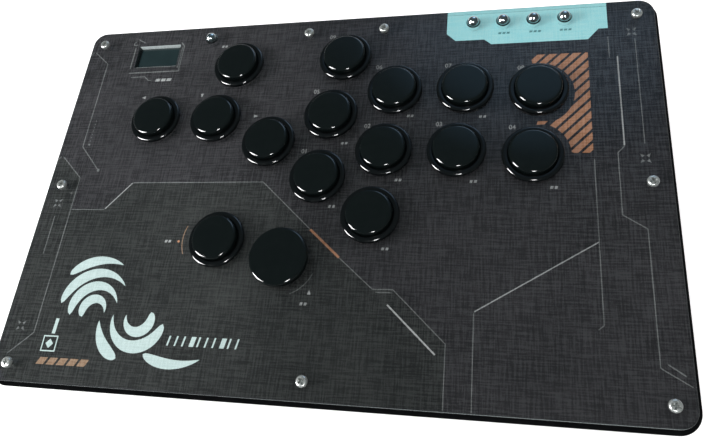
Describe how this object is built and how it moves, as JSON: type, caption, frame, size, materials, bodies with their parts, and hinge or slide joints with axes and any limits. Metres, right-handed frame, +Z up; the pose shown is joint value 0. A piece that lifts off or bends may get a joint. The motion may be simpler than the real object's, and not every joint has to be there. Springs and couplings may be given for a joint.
{
  "type": "all-button arcade controller",
  "caption": "Flat rectangular arcade controller with round push buttons, small dome keys, a display window and a clear screwed-on cover over a printed sheet.",
  "frame": {"origin": "centre of the rectangle under the case, on the plane the four feet stand on", "axes": "+X to the player's right, +Y away from the player to the rear edge with the socket, +Z up"},
  "size_m": [0.304, 0.196, 0.0385],
  "materials": {
    "case_plastic": "satin",
    "panel_steel": "matte",
    "art_print": "satin",
    "cover_acrylic": "gloss",
    "circuit_board": "satin",
    "ribbon_cable": "satin",
    "display_glass": "gloss",
    "socket_steel": "satin",
    "housing_plastic": "gloss",
    "cap_plastic": "gloss",
    "key_chrome": "polished",
    "screw_steel": "polished",
    "foot_rubber": "matte"
  },
  "bodies": {
    "case": {"base_case": "case_plastic", "mounting_panel": "panel_steel", "art_sheet": "art_print", "clear_cover": "cover_acrylic", "main_board": "circuit_board", "key_board": "circuit_board", "display_module": "display_glass", "usb_socket": "socket_steel", "display_cable": "ribbon_cable", "key_cable": "ribbon_cable", "housing_upper_1": "housing_plastic", "housing_upper_2": "housing_plastic", "housing_upper_3": "housing_plastic", "housing_upper_4": "housing_plastic", "housing_lower_1": "housing_plastic", "housing_lower_2": "housing_plastic", "housing_lower_3": "housing_plastic", "housing_lower_4": "housing_plastic", "housing_extra_lower": "housing_plastic", "housing_extra_upper": "housing_plastic", "housing_extra_left": "housing_plastic", "housing_move_right": "housing_plastic", "housing_move_down": "housing_plastic", "housing_move_left": "housing_plastic", "housing_thumb_jump": "housing_plastic", "housing_thumb_side": "housing_plastic", "screw_front_left": "screw_steel", "screw_front_middle": "screw_steel", "screw_front_right": "screw_steel", "screw_side_left": "screw_steel", "screw_side_right": "screw_steel", "screw_rear_left": "screw_steel", "screw_rear_inner_left": "screw_steel", "screw_rear_inner_right": "screw_steel", "screw_rear_right": "screw_steel", "foot_front_left": "foot_rubber", "foot_front_right": "foot_rubber", "foot_rear_left": "foot_rubber", "foot_rear_right": "foot_rubber"},
    "button_upper_1": {"plunger_upper_1": "cap_plastic"},
    "button_upper_2": {"plunger_upper_2": "cap_plastic"},
    "button_upper_3": {"plunger_upper_3": "cap_plastic"},
    "button_upper_4": {"plunger_upper_4": "cap_plastic"},
    "button_lower_1": {"plunger_lower_1": "cap_plastic"},
    "button_lower_2": {"plunger_lower_2": "cap_plastic"},
    "button_lower_3": {"plunger_lower_3": "cap_plastic"},
    "button_lower_4": {"plunger_lower_4": "cap_plastic"},
    "button_extra_lower": {"plunger_extra_lower": "cap_plastic"},
    "button_extra_upper": {"plunger_extra_upper": "cap_plastic"},
    "button_extra_left": {"plunger_extra_left": "cap_plastic"},
    "button_move_right": {"plunger_move_right": "cap_plastic"},
    "button_move_down": {"plunger_move_down": "cap_plastic"},
    "button_move_left": {"plunger_move_left": "cap_plastic"},
    "button_thumb_jump": {"plunger_thumb_jump": "cap_plastic"},
    "button_thumb_side": {"plunger_thumb_side": "cap_plastic"},
    "key_1_cap": {"key_1": "key_chrome"},
    "key_2_cap": {"key_2": "key_chrome"},
    "key_3_cap": {"key_3": "key_chrome"},
    "key_4_cap": {"key_4": "key_chrome"},
    "key_lock_cap": {"key_lock": "key_chrome"}
  },
  "joints": [
    {"name": "press_upper_1", "type": "slide", "parent": "case", "child": "button_upper_1", "axis": [0, 0, -1], "range_m": [0, 0.0025], "stiffness_N_per_m": 120, "springref_m": -0.0025},
    {"name": "press_upper_2", "type": "slide", "parent": "case", "child": "button_upper_2", "axis": [0, 0, -1], "range_m": [0, 0.0025], "stiffness_N_per_m": 120, "springref_m": -0.0025},
    {"name": "press_upper_3", "type": "slide", "parent": "case", "child": "button_upper_3", "axis": [0, 0, -1], "range_m": [0, 0.0025], "stiffness_N_per_m": 120, "springref_m": -0.0025},
    {"name": "press_upper_4", "type": "slide", "parent": "case", "child": "button_upper_4", "axis": [0, 0, -1], "range_m": [0, 0.0025], "stiffness_N_per_m": 120, "springref_m": -0.0025},
    {"name": "press_lower_1", "type": "slide", "parent": "case", "child": "button_lower_1", "axis": [0, 0, -1], "range_m": [0, 0.0025], "stiffness_N_per_m": 120, "springref_m": -0.0025},
    {"name": "press_lower_2", "type": "slide", "parent": "case", "child": "button_lower_2", "axis": [0, 0, -1], "range_m": [0, 0.0025], "stiffness_N_per_m": 120, "springref_m": -0.0025},
    {"name": "press_lower_3", "type": "slide", "parent": "case", "child": "button_lower_3", "axis": [0, 0, -1], "range_m": [0, 0.0025], "stiffness_N_per_m": 120, "springref_m": -0.0025},
    {"name": "press_lower_4", "type": "slide", "parent": "case", "child": "button_lower_4", "axis": [0, 0, -1], "range_m": [0, 0.0025], "stiffness_N_per_m": 120, "springref_m": -0.0025},
    {"name": "press_extra_lower", "type": "slide", "parent": "case", "child": "button_extra_lower", "axis": [0, 0, -1], "range_m": [0, 0.0025], "stiffness_N_per_m": 120, "springref_m": -0.0025},
    {"name": "press_extra_upper", "type": "slide", "parent": "case", "child": "button_extra_upper", "axis": [0, 0, -1], "range_m": [0, 0.0025], "stiffness_N_per_m": 120, "springref_m": -0.0025},
    {"name": "press_extra_left", "type": "slide", "parent": "case", "child": "button_extra_left", "axis": [0, 0, -1], "range_m": [0, 0.0025], "stiffness_N_per_m": 120, "springref_m": -0.0025},
    {"name": "press_move_right", "type": "slide", "parent": "case", "child": "button_move_right", "axis": [0, 0, -1], "range_m": [0, 0.0025], "stiffness_N_per_m": 120, "springref_m": -0.0025},
    {"name": "press_move_down", "type": "slide", "parent": "case", "child": "button_move_down", "axis": [0, 0, -1], "range_m": [0, 0.0025], "stiffness_N_per_m": 120, "springref_m": -0.0025},
    {"name": "press_move_left", "type": "slide", "parent": "case", "child": "button_move_left", "axis": [0, 0, -1], "range_m": [0, 0.0025], "stiffness_N_per_m": 120, "springref_m": -0.0025},
    {"name": "press_thumb_jump", "type": "slide", "parent": "case", "child": "button_thumb_jump", "axis": [0, 0, -1], "range_m": [0, 0.0025], "stiffness_N_per_m": 120, "springref_m": -0.0025},
    {"name": "press_thumb_side", "type": "slide", "parent": "case", "child": "button_thumb_side", "axis": [0, 0, -1], "range_m": [0, 0.0025], "stiffness_N_per_m": 120, "springref_m": -0.0025},
    {"name": "press_key_1", "type": "slide", "parent": "case", "child": "key_1_cap", "axis": [0, 0, -1], "range_m": [0, 0.0005], "stiffness_N_per_m": 300, "springref_m": -0.001},
    {"name": "press_key_2", "type": "slide", "parent": "case", "child": "key_2_cap", "axis": [0, 0, -1], "range_m": [0, 0.0005], "stiffness_N_per_m": 300, "springref_m": -0.001},
    {"name": "press_key_3", "type": "slide", "parent": "case", "child": "key_3_cap", "axis": [0, 0, -1], "range_m": [0, 0.0005], "stiffness_N_per_m": 300, "springref_m": -0.001},
    {"name": "press_key_4", "type": "slide", "parent": "case", "child": "key_4_cap", "axis": [0, 0, -1], "range_m": [0, 0.0005], "stiffness_N_per_m": 300, "springref_m": -0.001},
    {"name": "press_key_lock", "type": "slide", "parent": "case", "child": "key_lock_cap", "axis": [0, 0, -1], "range_m": [0, 0.0005], "stiffness_N_per_m": 300, "springref_m": -0.001}
  ]
}
